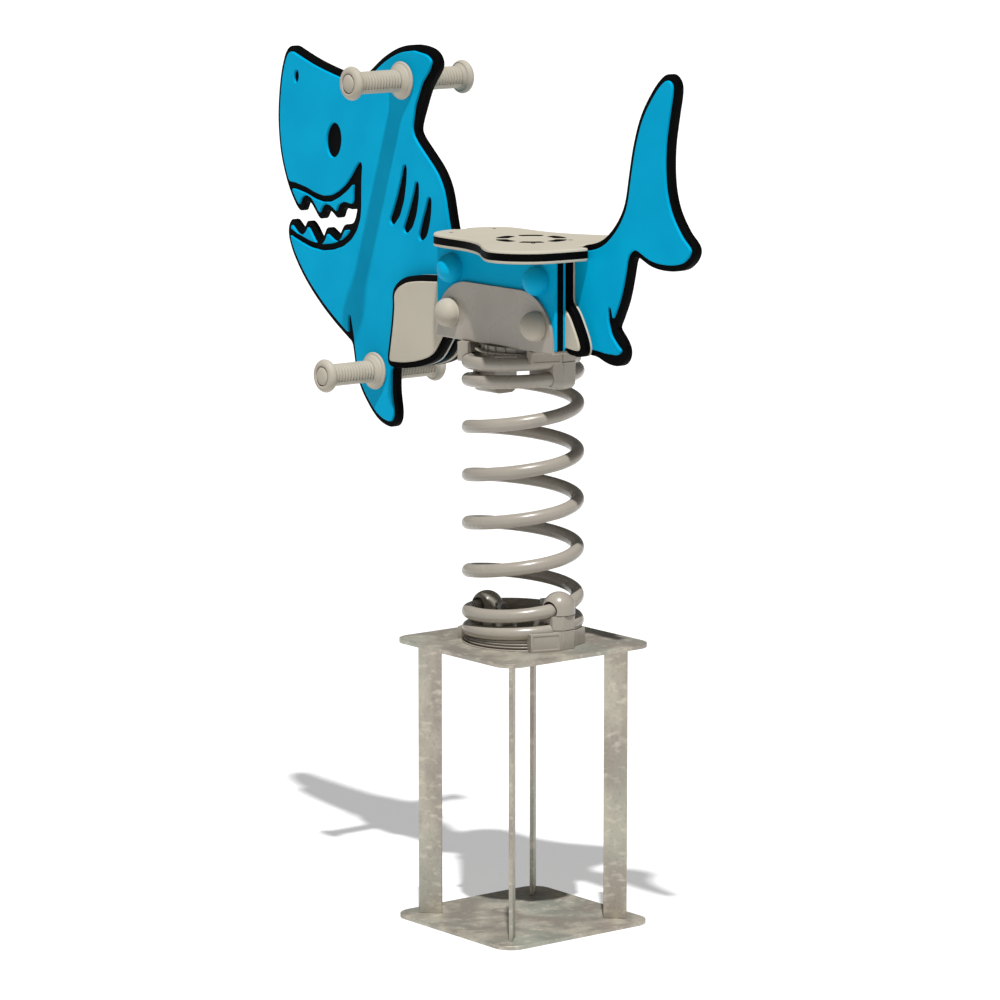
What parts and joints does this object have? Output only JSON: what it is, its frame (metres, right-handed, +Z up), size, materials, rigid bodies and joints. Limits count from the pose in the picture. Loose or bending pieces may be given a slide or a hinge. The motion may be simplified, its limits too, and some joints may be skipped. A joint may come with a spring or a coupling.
{
  "type": "spring rider",
  "caption": "Playground spring rider: a flat shark-shaped sheet body with a seat, hand grips and foot grips, on a coil spring clamped to a steel ground anchor frame.",
  "frame": {"origin": "middle of the underside of the anchor's bottom plate, on the spring's axis", "axes": "+X the way the rider faces, +Y to the rider's left, +Z up"},
  "size_m": [1.0043, 0.28, 1.2996],
  "materials": {
    "galvanised_steel": "hot dip galvanised, dull with soft blotches",
    "casting_coat": "glossy powder coat",
    "spring_coat": "glossy powder coat",
    "blue_sheet": "smooth coloured polyethylene",
    "black_sheet": "routed polyethylene",
    "beige_sheet": "smooth coloured polyethylene",
    "beige_plastic": "moulded plastic",
    "blue_plastic": "moulded plastic",
    "bolt_steel": "zinc plated"
  },
  "bodies": {
    "anchor": {"anchor_base_plate": "galvanised_steel", "anchor_top_plate": "galvanised_steel", "anchor_leg_front_left": "galvanised_steel", "anchor_leg_front_right": "galvanised_steel", "anchor_leg_rear_left": "galvanised_steel", "anchor_leg_rear_right": "galvanised_steel", "lower_spring_seat": "casting_coat", "lower_jaw_front": "casting_coat", "lower_jaw_rear": "casting_coat", "lower_cap_front": "casting_coat", "lower_cap_rear": "casting_coat", "lower_clamp_bolts": "bolt_steel", "lower_seat_bolts": "bolt_steel", "lower_seat_nuts": "bolt_steel"},
    "spring": {"coil_spring": "spring_coat"},
    "rider": {"upper_spring_seat": "casting_coat", "upper_jaw_front": "casting_coat", "upper_jaw_rear": "casting_coat", "upper_cap_front": "casting_coat", "upper_cap_rear": "casting_coat", "upper_clamp_bolts": "bolt_steel", "saddle_bracket": "casting_coat", "saddle_bolts": "bolt_steel", "saddle_nuts": "bolt_steel", "body_core": "black_sheet", "body_skin_left": "blue_sheet", "body_skin_right": "blue_sheet", "hip_core_left": "black_sheet", "hip_skins_left": "beige_sheet", "hip_core_right": "black_sheet", "hip_skins_right": "beige_sheet", "side_core_left": "black_sheet", "side_skins_left": "blue_sheet", "side_core_right": "black_sheet", "side_skins_right": "blue_sheet", "seat_core": "black_sheet", "seat_top_skin": "beige_sheet", "seat_bottom_skin": "beige_sheet", "seat_screws": "bolt_steel", "handle_bar": "bolt_steel", "footrest_bar": "bolt_steel", "handle_grip_left": "beige_plastic", "handle_grip_right": "beige_plastic", "footrest_grip_left": "beige_plastic", "footrest_grip_right": "beige_plastic", "handle_plug_left": "beige_plastic", "handle_plug_right": "beige_plastic", "footrest_plug_left": "beige_plastic", "footrest_plug_right": "beige_plastic", "upper_body_bolts": "bolt_steel", "lower_body_bolts": "bolt_steel", "body_nuts": "bolt_steel", "blue_covers": "blue_plastic", "beige_covers": "beige_plastic"}
  },
  "joints": [
    {"name": "rock", "type": "hinge", "parent": "anchor", "child": "spring", "pos_m": [0, 0, 0.57], "axis": [0, 1, 0], "range_deg": [-22, 22], "stiffness_Nm_per_rad": 550, "deforming": ["coil_spring"]},
    {"name": "sway", "type": "hinge", "parent": "spring", "child": "rider", "pos_m": [0, 0, 0.73], "axis": [1, 0, 0], "range_deg": [-15, 15], "stiffness_Nm_per_rad": 550, "deforming": ["coil_spring"]}
  ]
}
